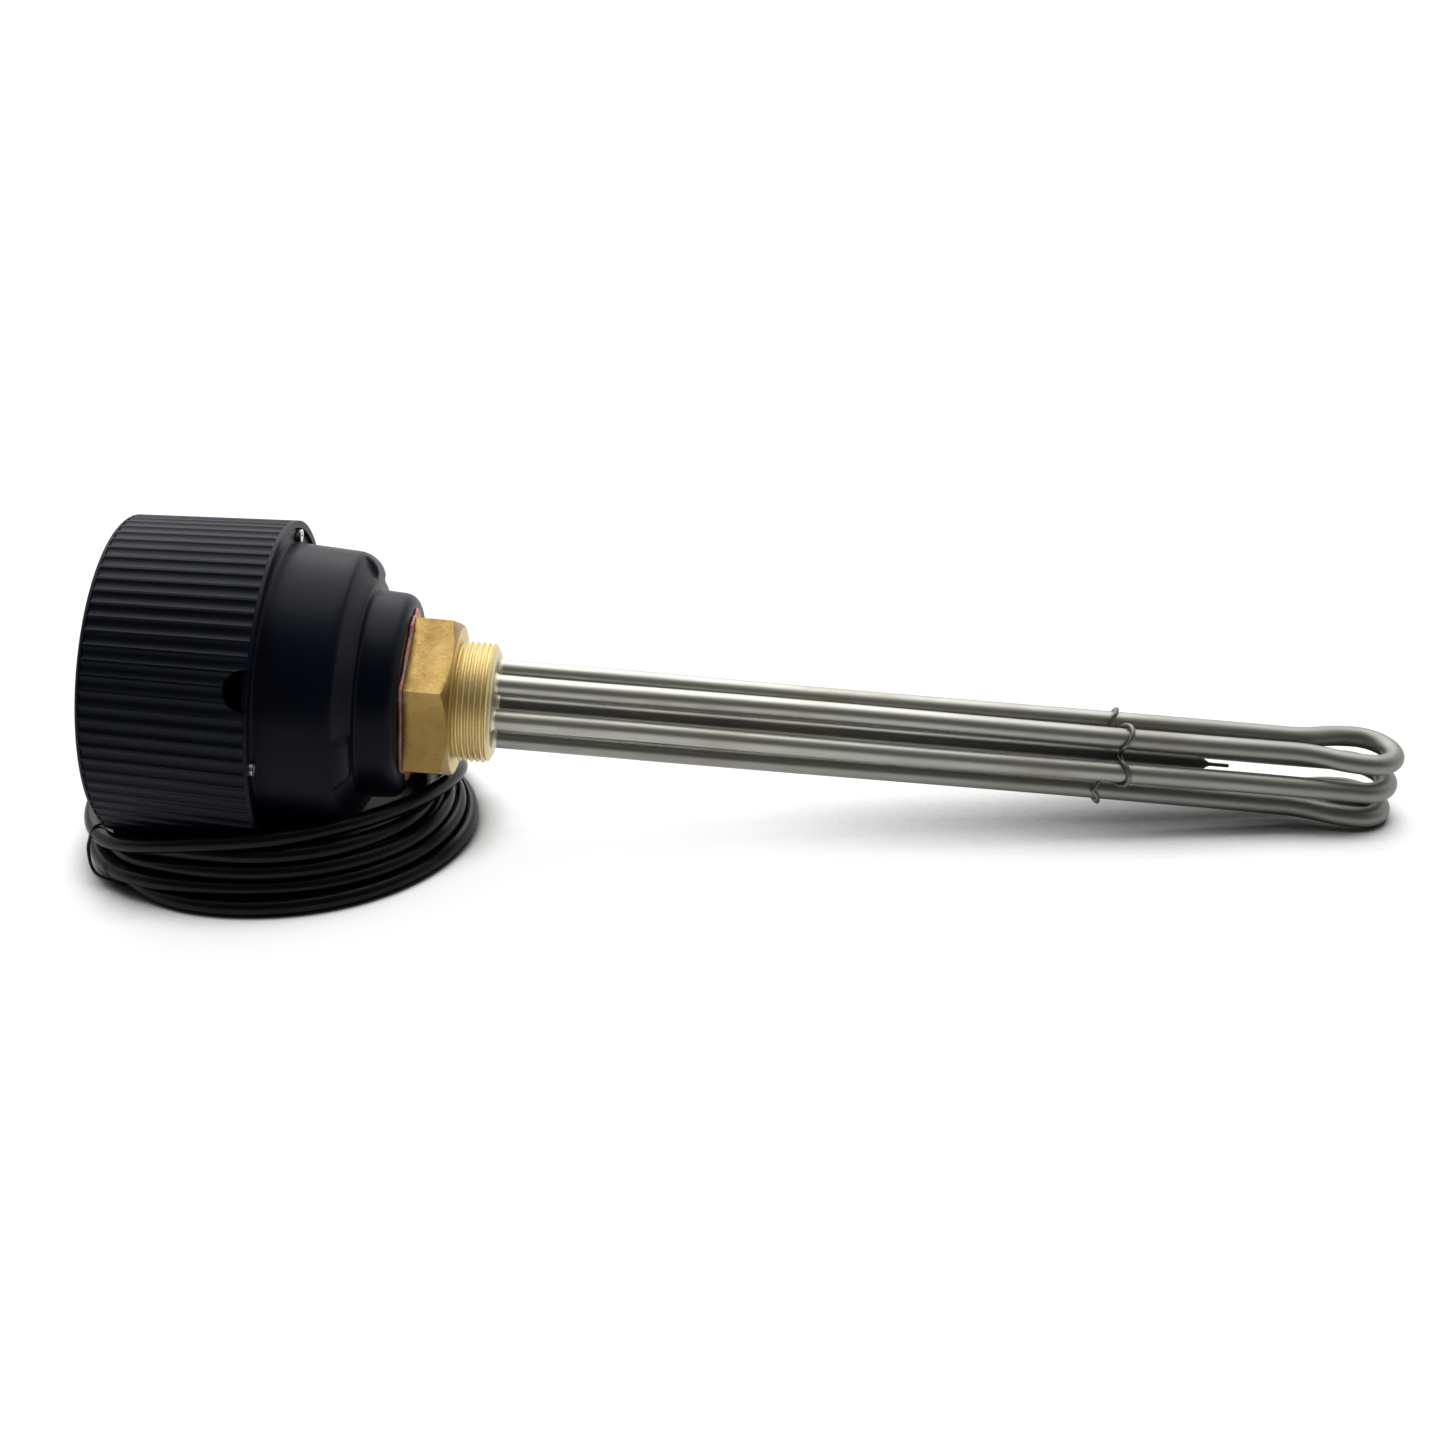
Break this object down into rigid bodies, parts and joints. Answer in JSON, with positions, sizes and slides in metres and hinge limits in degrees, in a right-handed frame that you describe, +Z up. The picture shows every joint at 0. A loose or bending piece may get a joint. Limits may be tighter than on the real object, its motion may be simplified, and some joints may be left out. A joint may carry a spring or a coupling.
{
  "type": "screw plug immersion heater",
  "caption": "Screw plug immersion heater: brass hexagon plug with hairpin tube elements, fluted black thermostat head and a coiled supply cable.",
  "frame": {"origin": "on the floor, under the middle of the heater's box without its cable", "axes": "+X from the head to the hairpins' tips, +Z up from the floor that the heater lies on, -Y towards the spare cable entry"},
  "size_m": [0.5392, 0.1951, 0.1343],
  "materials": {
    "cover_plastic": "satin moulded black plastic",
    "base_plastic": "satin moulded black plastic, smoother than the cover",
    "seal_rubber": "soft flat seal",
    "nickel_screw": "nickel plated",
    "brass": "hot-stamped brass with a slightly grainy skin, machined thread",
    "gasket_rubber": "salmon pink silicone",
    "tube_steel": "drawn stainless tube with a dull annealed finish",
    "well_steel": "dull stainless tube",
    "clip_wire": "plain steel wire",
    "insulator_ceramic": "unglazed steatite",
    "pin_steel": "plain steel",
    "link_brass": "stamped and turned brass",
    "bracket_steel": "zinc plated sheet",
    "thermostat_plastic": "phenolic moulding",
    "knob_plastic": "satin black knob",
    "lamp_lens": "clear red lens",
    "block_plastic": "pale polyamide",
    "wire_brown": "brown insulation",
    "wire_black": "black insulation",
    "wire_blue": "blue insulation",
    "wire_green": "green and yellow insulation",
    "bush_rubber": "black rubber",
    "cable_sheath": "glossy black sheath",
    "core_sheath": "insulated cores with ferrules",
    "tie_wire": "plastic coated tie wire"
  },
  "bodies": {
    "heater": {"cover_cap": "cover_plastic", "cover_seal": "seal_rubber", "cover_screws": "nickel_screw", "terminal_base": "base_plastic", "lock_nut": "brass", "plug_gasket": "gasket_rubber", "screw_plug": "brass", "heating_element_upper": "tube_steel", "heating_element_middle": "tube_steel", "heating_element_lower": "tube_steel", "thermowell": "well_steel", "element_clip": "clip_wire", "pin_insulators": "insulator_ceramic", "terminal_pins": "pin_steel", "pin_links": "link_brass", "pin_nuts": "pin_steel", "thermostat_bracket": "bracket_steel", "bracket_screws": "pin_steel", "thermostat_body": "thermostat_plastic", "thermostat_stem": "link_brass", "pilot_lamp": "lamp_lens", "terminal_block": "block_plastic", "terminal_screws": "link_brass", "earth_screw": "link_brass", "wire_live": "wire_brown", "wire_switched": "wire_black", "wire_neutral": "wire_blue", "wire_earth": "wire_green", "cable_bush": "bush_rubber", "cord_lead": "cable_sheath", "cord_coil": "cable_sheath", "cord_tail": "cable_sheath", "cord_cores": "core_sheath", "cord_tie": "tie_wire"},
    "knob": {"temperature_knob": "knob_plastic", "thermostat_spindle": "pin_steel"}
  },
  "joints": [
    {"name": "temperature_turn", "type": "hinge", "parent": "heater", "child": "knob", "pos_m": [-0.25121, 0, 0.07286], "axis": [0.9937, 0, -0.1124], "range_deg": [0, 270]}
  ]
}
